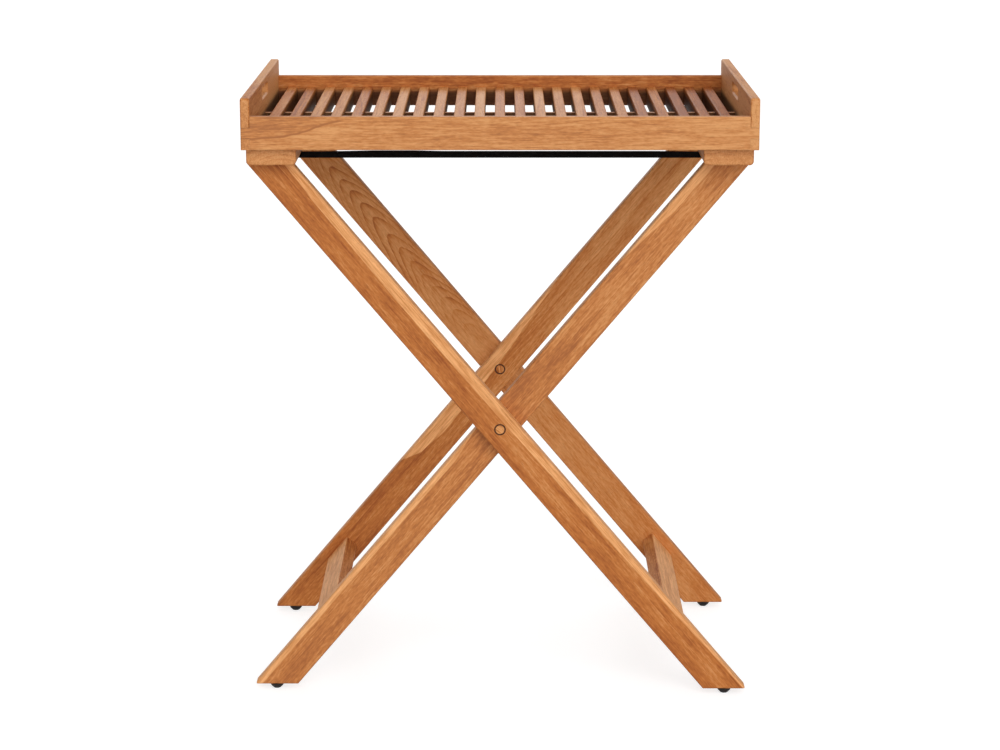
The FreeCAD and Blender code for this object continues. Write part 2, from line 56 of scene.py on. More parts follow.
# Axes of the boards: along the grain, across the board and through it.
LEAN_SINE, LEAN_COSINE = math.sin(LEG_LEAN), math.cos(LEG_LEAN)
OUTER_AXES = ((-LEAN_SINE, 0.0, LEAN_COSINE), (LEAN_COSINE, 0.0, LEAN_SINE), Y)
INNER_AXES = ((LEAN_SINE, 0.0, LEAN_COSINE), (-LEAN_COSINE, 0.0, LEAN_SINE), Y)
RAIL_AXES = (X, Z, Y)
END_AXES = (Y, Z, X)
TOP_RAIL_AXES = (Y, X, Z)

# The camera, fitted to the photograph.
CAMERA_PLACE = (0.0, -3.30345, 1.14609)
CAMERA_TILT = math.radians(13.18)
CAMERA_LENS = 93.6
CAMERA_SENSOR = 36.0

# Light, floor and background. A place is in metres.
SUN_SPREAD = math.radians(60.0)
KEY_PLACE, KEY_STRENGTH = (0.55, -2.6, 1.22), 1.94
FILL_PLACE, FILL_STRENGTH = (-0.8, 2.6, 1.1), 0.35
SHEEN_PLACE, SHEEN_AIM = (0.0, 2.4, 1.40), (0.0, 0.0, 0.74)
SHEEN_SIZE, SHEEN_POWER = (0.7, 0.6), 3.6
SKY_HEIGHTS = (0.05, 0.70)
SKY_STRENGTHS = (0.44, 0.53)
WHITE = (1.0, 1.0, 1.0, 1.0)
FLOOR_SIZE = 60.0
FLOOR_LIT = (0.80, 0.80, 0.80, 1.0)
FLOOR_SHOWN = (0.50, 0.50, 0.50, 1.0)
FLOOR_GLOW = 0.68

# The straps' mesh, and how far the back edge lifts between the rails: all along, and in a buckle
# left of the middle.
STRAP_STEPS = 194
STRAP_RIBS = 12
RIB_COLUMNS = 6
RIB_RISE = 0.22 * MM
SELVEDGE_POWER = 18
MERGE_DISTANCE = 1e-6
STRAP_FREE = 0.245
STRAP_EASE = 0.06
STRAP_LIFT = 0.45 * MM
BUCKLE_LIFT = 0.75 * MM
BUCKLE_FROM, BUCKLE_TO = -0.176, -0.088
BUCKLE_EASE = 0.022

# Sizes of the grain's features, in millimetres: along the board, across it and through it.
RING_WANDER = (210.0, 60.0, 60.0)
RING_WAVER = (48.0, 14.0, 14.0)
RING_GROUPS = (17.0, 1.0, 1.0)
RING_PATCHES = (170.0, 16.0, 16.0)
FIBRES = (40.0, 1.3, 1.3)
FIGURE = (30.0, 4.2, 4.2)
FLECKS = (7.0, 2.0, 2.0)
CLOUDS = (120.0, 22.0, 22.0)
PORES = (6.5, 0.42, 0.42)
STREAKS = (150.0, 3.2, 3.2)
WEAR_PATCHES = (14.0, 9.0, 9.0)
# The ragged edge of the painted light along the legs.
LIT_EDGE_RAGS = (26.0, 3.0, 3.0)
LINE_WAVES = (24.0, 8.0, 8.0)

# Growth rings: how far noise leads them astray, in millimetres, how uneven they are, and how dark
# the wood is from the start of a ring at 0 to its end at 1. Then where pores are open in a ring, and
# how strong rings are where an arched figure hasn't begun.
WANDER_REACH = 16.0
WAVER_REACH = 2.6
RING_UNEVEN = 1.5
LATE_WOOD = ((0.0, 0.0), (0.5, 0.18), (0.80, 0.62), (0.92, 1.0), (0.985, 0.85), (1.0, 0.0))
EARLY_WOOD = (0.75, 0.15, 0.35, 1.0)
ARCH_FAINT = 0.1

# Where noise counts as a feature: from its value with none to its value with all, and sometimes the
# share at each of the two.
RING_PATCH_FIELD = (0.35, 0.68, 0.25, 1.0)
PORE_FIELD = (0.58, 0.70)
STREAK_FIELD = (0.62, 0.78)
WEAR_FIELD = (0.35, 0.65, 0.35, 1.0)
SCUFF_FIELD = (0.52, 0.70)

# How far each feature moves the shade of the wood, from dark at 0 to light at 1.
CLOUD_SHADE = 0.95
FIGURE_SHADE = 1.15
FIBRE_SHADE = 1.40
FLECK_SHADE = 1.10
RING_SHADE = -0.60
STREAK_SHADE = -0.42
# The paler wood of painted light on lit edges and faces, and how its features move its shade.
LIT_WOOD_SHADE = 0.62
LIT_WOOD_FIBRE_SHADE = 2.4
LIT_WOOD_FIGURE_SHADE = 2.0
LIT_WOOD_RING_SHADE = -0.30

# Linear colours of the wood, and how much of some of them is mixed in.
HEART_COLOURS = ((0.0, (0.300, 0.078, 0.015)), (0.45, (0.480, 0.158, 0.034)), (1.0, (0.660, 0.300, 0.105)))
# Colours of the painted light's paler wood.
LIT_WOOD_COLOURS = ((0.0, (0.560, 0.215, 0.060)), (1.0, (0.860, 0.430, 0.175)))
PORE_COLOUR, PORE_SHARE = (0.10, 0.030, 0.010, 1.0), 0.34
END_COLOUR, END_SHARE = (0.64, 0.33, 0.14, 1.0), 0.30
WEAR_COLOUR, WEAR_SHARE = (0.80, 0.46, 0.22, 1.0), 0.22
MARK_COLOUR = (0.060, 0.016, 0.005, 1.0)
# Painted shade down between the slats: its colour, its share, and how far below the slats' tops it reaches,
# in millimetres.
GAP_SHADE_COLOUR, GAP_SHADE_SHARE = (0.022, 0.006, 0.003, 1.0), 0.80
GAP_SHADE_DEPTH = 9.0

# The wood's surface: roughness, relief, and edges that are eased and worn.
WOOD_ROUGHNESS = 0.50
PORE_ROUGHNESS = 0.16
FIBRE_ROUGHNESS = 0.18
WEAR_ROUGHNESS = -0.06
FIBRE_HEIGHT = 0.5
PORE_HEIGHT = -0.8
LATE_HEIGHT = 0.25
WOOD_RELIEF, WOOD_RELIEF_DEPTH = 0.35, 0.35 * MM
BOARD_EASE, SLAT_EASE = 1.4 * MM, 1.2 * MM
BEVEL_SAMPLES = 4
WORN_TURN = (0.985, 0.80)
END_FACING = (0.80, 0.97)
# Which faces take the painted shade down between the slats.
GAP_SHADE_FACING = (0.4, 0.8)
BOARD_SPECULAR, SLAT_SPECULAR = 0.20, 0.13

# Half the length that a pair of tones runs over, and half that of a list of widths of painted light. Then
# the ragged edge of the painted light along a leg's lit edge, and the band below a face that has painted
# light all over.
TONE_HALF = 300.0
LIT_EDGE_HALF = 460.0
LIT_EDGE_RAG_REACH = 2.2
LIT_EDGE_BLUR = (-0.7, 0.9)
LIT_FACE_DEPTH, LIT_FACE_COVER = 1.2, 0.1

# Painted light along each leg's upper edge, where that edge looks lit and not in shade: places along the
# leg from the pivot, and widths there.
OUTER_FRONT_LIT_EDGE = (
    (-440, 2.5), (-386, 4.2), (-318, 6.7), (-181, 9.4), (-47, 11.1), (151, 13.8), (346, 11.4), (420, 8.0),
)
INNER_FRONT_LIT_EDGE = ((-430, 6.9), (-70, 6.9), (-20, 0.0), (252, 0.0), (345, 10.0), (420, 10.6))
INNER_BACK_LIT_EDGE = ((-185, 0.0), (-160, 13.0), (-120, 19.0), (-40, 17.0), (30, 12.9), (150, 0.0))

# A growth line on the tray's front rail: places along the rail and above its middle, in millimetres.
GROWTH_LINE = ((-309.0, -7.7), (-258.0, -4.0), (-233.0, 2.0), (-212.0, 10.5), (-184.0, 17.0))
LINE_WAVE_REACH = 2.4
LINE_FADE = 14.0
LINE_WIDTHS = (1.6, 0.3)
LINE_SHADE = -1.00
ABOVE_LINE = (-0.5, 1.5)
ABOVE_LINE_SHADE = -0.22
RAIL_LIGHTER_FROM, RAIL_LIGHTER_TO = 120.0, 290.0
RAIL_LIGHTER_SHADE = 0.22

# The slats' shades, the painted shade that darkens them towards both ends, counted in slats from the left,
# and their cut.
SLAT_SHADES = (0.60, 0.96)
LEFT_SLATS, LEFT_SLATS_PAINTED_SHADE = (0.0, 6.0), -0.16
RIGHT_SLATS, RIGHT_SLATS_PAINTED_SHADE = (13.0, 21.0), -0.58
SLAT_SEEDS = 40.0
SLAT_LOG = 900.0
SLAT_STRETCH = 0.4
SLAT_PITH_SPREAD, SLAT_PITH_LEVEL, SLAT_TAPER = 46.0, 690.0, 0.02
SLAT_RING, SLAT_STRENGTH, SLAT_FIGURE = 5.5, 0.8, 0.8

# Grain direction of each plug, in degrees.
PLUG_TURNS = {
    "outer_front_plug": -40.0,
    "outer_back_plug": 25.0,
    "inner_front_plug": 60.0,
    "inner_back_plug": 100.0,
}
PLUG_TONE, PLUG_TONE_STEP = 0.85, -0.2
PLUG_SEED, PLUG_SEED_STEP = 51.7, 5
RIM_SOFT, RIM_HARD, RIM_SHARE = 1.30, 0.60, 0.95

# The other materials: linear colours, and sizes in millimetres.
PLASTIC_DARK = (0.0050, 0.0026, 0.0022, 1.0)
PLASTIC_SCUFFED = (0.020, 0.011, 0.009, 1.0)
PLASTIC_GRAIN = (0.5, 0.5, 0.5)
PLASTIC_SCUFFS = (2.5, 2.5, 2.5)
PLASTIC_ROUGHNESS, SCUFF_ROUGHNESS = 0.38, 0.25
STEEL_CLOUDS = (3.0, 3.0, 3.0)
STEEL_SCRATCHES = (6.0, 0.25, 0.25)
STEEL_ROUGHNESS, CLOUD_ROUGHNESS = 0.20, 0.30
STEEL_COLOURS = ((0.3, (0.42, 0.42, 0.40)), (0.7, (0.60, 0.60, 0.57)))
WEBBING_COLOURS = ((0.0, (0.0008, 0.0006, 0.0006)), (0.5, (0.0065, 0.0058, 0.0058)))
WEBBING_FUZZ = (1.2, 0.4, 0.4)
WEBBING_WEAR = (60.0, 12.0, 12.0)
WEBBING_SPECULAR = 0.12
WEBBING_ROUGHNESS, FUZZ_ROUGHNESS = 0.95, -0.15
FUZZ_HEIGHT = 0.4
HERRINGBONE = 2.1
YARN = 0.55


class Graph:
    """Adds nodes to one node tree. An input is a number, a tuple, or another node's output."""

    def __init__(self, tree):
        self.tree = tree

    def put(self, socket, value):
        if isinstance(value, bpy.types.NodeSocket):
            self.tree.links.new(value, socket)
        else:
            socket.default_value = value

    def node(self, kind, inputs=None, **settings):
        made = self.tree.nodes.new(kind)
        for name, value in settings.items():
            setattr(made, name, value)
        for name, value in (inputs or {}).items():
            self.put(made.inputs[name], value)
        return made

    def math(self, operation, *values, clamp=False):
        made = self.node("ShaderNodeMath", dict(enumerate(values)), operation=operation, use_clamp=clamp)
        return made.outputs[0]

    def plus(self, total, value, amount):
        """total with amount times value added."""
        return self.math("MULTIPLY_ADD", value, amount, total)

    def centred(self, value):
        """A value from 0 to 1, as one from -0.5 to 0.5."""
        return self.math("SUBTRACT", value, 0.5)

    def vector(self, operation, *values):
        made = self.node("ShaderNodeVectorMath", dict(enumerate(values)), operation=operation)
        return made.outputs["Value" if operation in ("DOT_PRODUCT", "LENGTH") else "Vector"]

    def split(self, vector):
        return self.node("ShaderNodeSeparateXYZ", {0: vector}).outputs

    def join(self, x, y, z):
        return self.node("ShaderNodeCombineXYZ", {0: x, 1: y, 2: z}).outputs[0]

    def object_place(self):
        """Object coordinates in metres."""
        return self.node("ShaderNodeTexCoord").outputs["Object"]

    def place(self):
        """Object coordinates in millimetres."""
        inputs = {0: self.object_place(), "Scale": 1.0 / MM}
        return self.node("ShaderNodeVectorMath", inputs, operation="SCALE").outputs["Vector"]

    def normal(self):
        return self.node("ShaderNodeNewGeometry").outputs["Normal"]

    def eased_normal(self, radius):
        """The normal, rounded over at edges."""
        return self.node("ShaderNodeBevel", {"Radius": radius}, samples=BEVEL_SAMPLES).outputs[0]

    def noise(self, place, size, seed, detail=2.0, roughness=0.5):
        """Noise from 0 to 1 whose blobs are about size = (along, across, through) long."""
        scaled = self.vector("DIVIDE", place, size)
        return self.node(
            "ShaderNodeTexNoise",
            {"Vector": scaled, "W": seed, "Scale": 1.0, "Detail": detail, "Roughness": roughness},
            noise_dimensions="4D",
        ).outputs["Fac"]

    def spread(self, value, low, high, new_low=0.0, new_high=1.0):
        """value from low..high, smoothly, to new_low..new_high."""
        return self.node(
            "ShaderNodeMapRange",
            {0: value, 1: low, 2: high, 3: new_low, 4: new_high},
            interpolation_type="SMOOTHSTEP",
        ).outputs[0]

    def ramp(self, value, stops, interpolation="LINEAR"):
        made = self.node("ShaderNodeValToRGB", {0: value})
        band = made.color_ramp
        band.interpolation = interpolation
        while len(band.elements) < len(stops):
            band.elements.new(1.0)
        for element, (place, colour) in zip(band.elements, stops):
            element.position = place
            element.color = (*colour, 1.0) if isinstance(colour, tuple) else (colour,) * 3 + (1.0,)
        return made.outputs["Color"]

    def mix(self, share, first, second):
        return self.node(
            "ShaderNodeMix",
            {0: share, 6: first, 7: second},
            data_type="RGBA",
            blend_type="MIX",
            clamp_factor=True,
        ).outputs[2]

    def relief(self, strength, depth, height, normal=None):
        """The normal of a surface with a fine relief."""
        inputs = {"Strength": strength, "Distance": depth, "Height": height}
        if normal is not None:
            inputs["Normal"] = normal
        return self.node("ShaderNodeBump", inputs).outputs[0]

    def seen(self):
        """1 where the camera sees a surface, also through glass."""
        path = self.node("ShaderNodeLightPath").outputs
        return self.math("ADD", path["Is Camera Ray"], path["Is Transmission Ray"], clamp=True)


def group(name, inputs, outputs):
    """A new node group, its graph, its input sockets and its output node's sockets."""
    tree = bpy.data.node_groups.new(name, "ShaderNodeTree")
    for label, kind in inputs:
        tree.interface.new_socket(name=label, in_out="INPUT", socket_type=kind)
    for label, kind in outputs:
        tree.interface.new_socket(name=label, in_out="OUTPUT", socket_type=kind)
    graph = Graph(tree)
    return tree, graph, graph.node("NodeGroupInput").outputs, graph.node("NodeGroupOutput").inputs


def teak_group():
    """Teak in board coordinates, millimetres: x along the grain, y across the board, z through it."""
    numbers = ("Ring", "Strength", "Tone", "Seed", "Sap", "End", "Wear", "Mark", "Figure", "Grime")
    tree, g, given, made = group(
        "teak",
        [("Board", VECTOR), ("Pith", VECTOR)] + [(label, NUMBER) for label in numbers],
        [("Colour", COLOUR), ("Roughness", NUMBER), ("Height", NUMBER)],
    )
    board, seed = given["Board"], given["Seed"]
    along, across, through = g.split(board)
    pith_across, pith_through, taper = g.split(given["Pith"])

    # Growth rings: distance from a slightly slanting pith, led astray by slow noise.
    side = g.math("SUBTRACT", across, pith_across)
    depth = g.math("SUBTRACT", through, pith_through)
    radius = g.math("SQRT", g.math("ADD", g.math("MULTIPLY", side, side), g.math("MULTIPLY", depth, depth)))
    radius = g.plus(radius, along, taper)
    slow = g.centred(g.noise(board, RING_WANDER, seed, detail=1.0))
    quick = g.centred(g.noise(board, RING_WAVER, seed))
    radius = g.plus(radius, slow, WANDER_REACH)
    radius = g.plus(radius, quick, WAVER_REACH)
    uneven = g.noise(g.join(radius, 0.0, 0.0), RING_GROUPS, seed, detail=0.0)
    count = g.plus(g.math("DIVIDE", radius, given["Ring"]), uneven, RING_UNEVEN)
    phase = g.math("FRACT", count)
    late = g.ramp(phase, LATE_WOOD)
    patchy = g.spread(g.noise(board, RING_PATCHES, seed, detail=1.0), *RING_PATCH_FIELD)
    ring = g.math("MULTIPLY", g.math("MULTIPLY", late, patchy), given["Strength"])

    # Fibres, open pores and a few dark streaks.
    fibre = g.noise(board, FIBRES, seed, detail=3.0, roughness=0.6)
    figure = g.noise(board, FIGURE, seed, detail=3.0, roughness=0.6)
    fleck = g.noise(board, FLECKS, seed)
    cloud = g.noise(board, CLOUDS, seed)
    open_pore = g.spread(g.noise(board, PORES, seed, detail=1.0), *PORE_FIELD)
    pore = g.math("MULTIPLY", open_pore, g.spread(phase, *EARLY_WOOD))
    streak = g.spread(g.noise(board, STREAKS, seed), *STREAK_FIELD)

    # Colour: heartwood and the paler wood of painted light, then what lies over them.
    shade = g.plus(given["Tone"], g.centred(cloud), CLOUD_SHADE)
    marks = g.math("MULTIPLY", g.centred(figure), FIGURE_SHADE)
    marks = g.plus(marks, g.centred(fibre), FIBRE_SHADE)
    marks = g.plus(marks, g.centred(fleck), FLECK_SHADE)
    shade = g.plus(shade, marks, given["Figure"])
    shade = g.plus(shade, ring, RING_SHADE)
    shade = g.plus(shade, streak, STREAK_SHADE)
    heart = g.ramp(shade, HEART_COLOURS)
    sap_shade = g.plus(LIT_WOOD_SHADE, g.centred(fibre), LIT_WOOD_FIBRE_SHADE)
    sap_shade = g.plus(sap_shade, g.centred(figure), LIT_WOOD_FIGURE_SHADE)
    sap_shade = g.plus(sap_shade, late, LIT_WOOD_RING_SHADE)
    sap = g.ramp(sap_shade, LIT_WOOD_COLOURS)
    wood = g.mix(given["Sap"], heart, sap)
    wood = g.mix(g.math("MULTIPLY", pore, PORE_SHARE), wood, PORE_COLOUR)
    wood = g.mix(g.math("MULTIPLY", given["End"], END_SHARE), wood, END_COLOUR)
    wood = g.mix(g.math("MULTIPLY", given["Wear"], WEAR_SHARE), wood, WEAR_COLOUR)
    wood = g.mix(given["Mark"], wood, MARK_COLOUR)
    # Painted shade down between the slats, where shade falls.
    wood = g.mix(given["Grime"], wood, GAP_SHADE_COLOUR)

    # Roughness and relief.
    rough = g.plus(WOOD_ROUGHNESS, pore, PORE_ROUGHNESS)
    rough = g.plus(rough, g.centred(fibre), FIBRE_ROUGHNESS)
    rough = g.plus(rough, given["Wear"], WEAR_ROUGHNESS)
    height = g.plus(g.math("MULTIPLY", pore, PORE_HEIGHT), fibre, FIBRE_HEIGHT)
    height = g.plus(height, late, LATE_HEIGHT)
    g.put(made["Colour"], wood)
    g.put(made["Roughness"], rough)
    g.put(made["Height"], height)
    return tree


def new_material(name):
    """A material, its graph and its shader's inputs."""
    material = bpy.data.materials.new(name)
    material.use_nodes = True
    material.node_tree.nodes.clear()
    graph = Graph(material.node_tree)
    shader = graph.node("ShaderNodeBsdfPrincipled")
    output = graph.node("ShaderNodeOutputMaterial")
    graph.put(output.inputs["Surface"], shader.outputs[0])
    return material, graph, shader.inputs


def board_place(g, origin, axes):
    """Object coordinates as board coordinates in millimetres."""
    place = g.vector("SUBTRACT", g.place(), origin)
    return g.join(*[g.vector("DOT_PRODUCT", place, axis) for axis in axes])


def sap_band(g, board, stops, seed):
    """1 in the painted light along a leg's upper edge, where that edge looks lit. stops give its width
    against the place along.
    """
    along, across, _ = g.split(board)
    share = g.math("MULTIPLY_ADD", along, 0.5 / LIT_EDGE_HALF, 0.5)
    widths = [(0.5 + at * 0.5 / LIT_EDGE_HALF, size / LEG_WIDTH) for at, size in stops]
    width = g.math("MULTIPLY", g.ramp(share, widths), LEG_WIDTH)
    ragged = g.centred(g.noise(board, LIT_EDGE_RAGS, seed, detail=3.0))
    reach = g.math("ADD", g.math("SUBTRACT", across, LEG_WIDTH / 2), width)
    return g.spread(g.plus(reach, ragged, LIT_EDGE_RAG_REACH), *LIT_EDGE_BLUR)


def plug_rim(g):
    """Up to RIM_SHARE in the dark line round a pivot plug."""
    x, _, z = g.split(g.object_place())
    out = g.join(x, 0.0, g.math("SUBTRACT", z, PIVOT_LEVEL * MM))
    away = g.math("ABSOLUTE", g.math("SUBTRACT", g.vector("LENGTH", out), PLUG_RIM * MM))
    return g.spread(away, RIM_SOFT * MM, RIM_HARD * MM, 0.0, RIM_SHARE)


def growth_line(g, board, seed, tone):
    """The tone with a dark growth line that climbs along the board's left, and darker wood above it."""
    along, across, _ = g.split(board)
    (left, bottom), (right, top) = GROWTH_LINE[0], GROWTH_LINE[-1]
    share = g.math("DIVIDE", g.math("SUBTRACT", along, left), right - left)
    stops = [((at - left) / (right - left), (level - bottom) / (top - bottom)) for at, level in GROWTH_LINE]
    climb = g.math("MULTIPLY_ADD", g.ramp(share, stops, "B_SPLINE"), top - bottom, bottom)
    wobble = g.centred(g.noise(board, LINE_WAVES, seed))
    above = g.plus(g.math("SUBTRACT", across, climb), wobble, LINE_WAVE_REACH)
    inside = g.spread(g.math("SUBTRACT", along, right), 0.0, -LINE_FADE)
    line = g.math("MULTIPLY", g.spread(g.math("ABSOLUTE", above), *LINE_WIDTHS), inside)
    darker = g.math("MULTIPLY", g.spread(above, *ABOVE_LINE), inside)
    tone = g.plus(tone, darker, ABOVE_LINE_SHADE)
    lighter = g.spread(along, RAIL_LIGHTER_FROM, RAIL_LIGHTER_TO, 0.0, RAIL_LIGHTER_SHADE)
    return g.plus(g.math("ADD", lighter, tone), line, LINE_SHADE)


def gap_shade(g):
    """How far painted shade darkens the wood down between the slats, below the slats' tops."""
    level = g.split(g.object_place())[2]
    return g.spread(level, SLAT_TOP * MM, (SLAT_TOP - GAP_SHADE_DEPTH) * MM, 0.0, GAP_SHADE_SHARE)


def dress(g, shader, teak_tree, inputs, eased, specular):
    """Puts teak with these inputs on a shader."""
    wood = g.node("ShaderNodeGroup", node_tree=teak_tree)
    for label, value in inputs.items():
        g.put(wood.inputs[label], value)
    g.put(shader["Base Color"], wood.outputs["Colour"])
    g.put(shader["Roughness"], wood.outputs["Roughness"])
    g.put(shader["Normal"], g.relief(WOOD_RELIEF, WOOD_RELIEF_DEPTH, wood.outputs["Height"], eased))
    g.put(shader["Specular IOR Level"], specular)


def board_teak(name, teak_tree, origin, axes, tone, seed, pith=(4.0, -42.0, 0.02), ring=6.5, strength=1.0,
               figure=1.0, sap=None, skin=None, arched=None, plugged=False, lined=False, grimy=None,
               pale=0.0):
    """One board's teak, with its own cut from the log. A pair of tones runs along the board.

    sap: widths of the painted light along one edge; skin: how far out a face is that has painted light all
    over.
    arched: where along the board its rings begin to show. plugged: it has a plug's dark rim.
    lined: it has the growth line. grimy: the direction of its face with painted shade down between the
    slats.
    pale: how far all of it has the paler colour of end grain.
    """
    material, g, shader = new_material(name)
    board = board_place(g, origin, axes)
    along, _, through = g.split(board)
    if isinstance(tone, tuple):
        tone = g.spread(along, -TONE_HALF, TONE_HALF, *tone)
    if lined:
        tone = growth_line(g, board, seed, tone)
    if arched:
        strength = g.spread(along, *arched, ARCH_FAINT * strength, strength)
    eased = g.eased_normal(BOARD_EASE)
    flat = g.normal()
    worn = g.spread(g.vector("DOT_PRODUCT", eased, flat), *WORN_TURN)
    patches = g.spread(g.noise(board, WEAR_PATCHES, seed), *WEAR_FIELD)
    faced = g.vector("DOT_PRODUCT", g.node("ShaderNodeTexCoord").outputs["Normal"], axes[0])
    end = g.spread(g.math("ABSOLUTE", faced), *END_FACING)
    inputs = {
        "Board": board, "Pith": pith, "Ring": ring, "Strength": strength, "Tone": tone, "Seed": seed,
        "Sap": 0.0, "End": g.math("MAXIMUM", end, pale) if pale else end,
        "Wear": g.math("MULTIPLY", worn, patches), "Mark": plug_rim(g) if plugged else 0.0,
        "Figure": figure, "Grime": 0.0,
    }
    # Painted light: a paler band along an edge where light falls, and over all of a face where light falls.
    if sap:
        inputs["Sap"] = sap_band(g, board, sap, seed)
    if skin:
        inputs["Sap"] = g.spread(through, skin - LIT_FACE_DEPTH, skin - LIT_FACE_COVER)
    # Painted shade on a face down between the slats.
    if grimy:
        inner = g.spread(g.vector("DOT_PRODUCT", flat, grimy), *GAP_SHADE_FACING)
        inputs["Grime"] = g.math("MULTIPLY", gap_shade(g), inner)
    dress(g, shader, teak_tree, inputs, eased, BOARD_SPECULAR)
    return material


def slat_teak(teak_tree):
    """The slats' teak: each slat, told apart by its place along the tray, has its own cut and tone, with
    painted shade towards both ends of the tray and down between the slats.
    """
    material, g, shader = new_material("slat_teak")
    x, y, z = g.split(g.place())
    number = g.math("ROUND", g.math("DIVIDE", g.math("SUBTRACT", x, SLAT_FIRST), SLAT_PITCH))
    chance = g.node("ShaderNodeTexWhiteNoise", {"W": number}, noise_dimensions="1D").outputs["Value"]
    middle = g.math("MULTIPLY_ADD", number, SLAT_PITCH, SLAT_FIRST)
    along = g.plus(g.math("MULTIPLY", chance, SLAT_LOG), y, SLAT_STRETCH)
    pith_side = g.math("MULTIPLY_ADD", chance, SLAT_PITH_SPREAD, -SLAT_PITH_SPREAD / 2)
    tone = g.spread(chance, 0.0, 1.0, *SLAT_SHADES)
    # Painted shade: the slats darken towards both ends of the tray.
    tone = g.math("ADD", tone, g.spread(number, *RIGHT_SLATS, 0.0, RIGHT_SLATS_PAINTED_SHADE))
    tone = g.math("ADD", tone, g.spread(number, *LEFT_SLATS, LEFT_SLATS_PAINTED_SHADE, 0.0))
    eased = g.eased_normal(SLAT_EASE)
    inputs = {
        "Board": g.join(along, g.math("SUBTRACT", x, middle), z),
        "Pith": g.join(pith_side, SLAT_PITH_LEVEL, SLAT_TAPER),
        "Ring": SLAT_RING, "Strength": SLAT_STRENGTH, "Figure": SLAT_FIGURE,
        "Tone": tone, "Seed": g.plus(number, chance, SLAT_SEEDS), "Sap": 0.0, "End": 0.0,
        "Wear": g.spread(g.vector("DOT_PRODUCT", eased, g.normal()), *WORN_TURN), "Mark": 0.0,
        # Painted shade on the slats' sides, down between them.
        "Grime": gap_shade(g),
    }
    dress(g, shader, teak_tree, inputs, eased, SLAT_SPECULAR)
    return material


def glide_plastic():
    """Dark brown moulded plastic, with a fine spark-eroded texture and scuffs."""
    material, g, shader = new_material("glide_plastic")
    place = g.place()
    grain = g.noise(place, PLASTIC_GRAIN, seed=3.0, detail=3.0)
    scuff = g.spread(g.noise(place, PLASTIC_SCUFFS, seed=8.0, detail=4.0, roughness=0.7), *SCUFF_FIELD)
    g.put(shader["Base Color"], g.mix(scuff, PLASTIC_DARK, PLASTIC_SCUFFED))
    g.put(shader["Roughness"], g.plus(PLASTIC_ROUGHNESS, scuff, SCUFF_ROUGHNESS))
    g.put(shader["Normal"], g.relief(strength=0.2, depth=0.1 * MM, height=grain))
    return material


def steel():
    """Zinc-plated steel, a little clouded."""
    material, g, shader = new_material("steel")
    place = g.place()
    cloud = g.noise(place, STEEL_CLOUDS, seed=1.0, detail=4.0)
    scratch = g.noise(place, STEEL_SCRATCHES, seed=5.0)
    g.put(shader["Base Color"], g.ramp(cloud, STEEL_COLOURS))
    g.put(shader["Metallic"], 1.0)
    g.put(shader["Roughness"], g.plus(STEEL_ROUGHNESS, cloud, CLOUD_ROUGHNESS))
    g.put(shader["Normal"], g.relief(strength=0.1, depth=0.05 * MM, height=scratch))
    return material


def webbing_cloth():
    """Black twill webbing: herringbone yarns along the strap, faded a little on their crests."""
    material, g, shader = new_material("webbing_cloth")
    place = g.place()
    x, y, _ = g.split(place)
    slant = g.math("ADD", x, g.math("PINGPONG", y, HERRINGBONE))
    yarn = g.math("DIVIDE", g.math("PINGPONG", slant, YARN), YARN)
    fuzz = g.noise(place, WEBBING_FUZZ, seed=2.0, detail=3.0)
    worn = g.noise(place, WEBBING_WEAR, seed=4.0)
    pale = g.math("MULTIPLY", yarn, g.math("MULTIPLY", fuzz, worn))
    g.put(shader["Base Color"], g.ramp(pale, WEBBING_COLOURS))
    g.put(shader["Roughness"], g.plus(WEBBING_ROUGHNESS, fuzz, FUZZ_ROUGHNESS))
    g.put(shader["Specular IOR Level"], WEBBING_SPECULAR)
    height = g.plus(yarn, fuzz, FUZZ_HEIGHT)
    g.put(shader["Normal"], g.relief(strength=0.5, depth=0.25 * MM, height=height))
    return material


def ease(value, low, high):
    """0 at low and 1 at high, smoothly."""
    share = min(1.0, max(0.0, (value - low) / (high - low)))
    return share * share * (3.0 - 2.0 * share)


def strap_lift(x):
    """How far the strap's back edge stands above its solid at x, in metres."""
    span = ease(STRAP_FREE - abs(x), 0.0, STRAP_EASE)
    rising = ease(x, BUCKLE_FROM - BUCKLE_EASE, BUCKLE_FROM + BUCKLE_EASE)
    falling = ease(x, BUCKLE_TO + BUCKLE_EASE, BUCKLE_TO - BUCKLE_EASE)
    return span * (STRAP_LIFT + BUCKLE_LIFT * rising * falling)


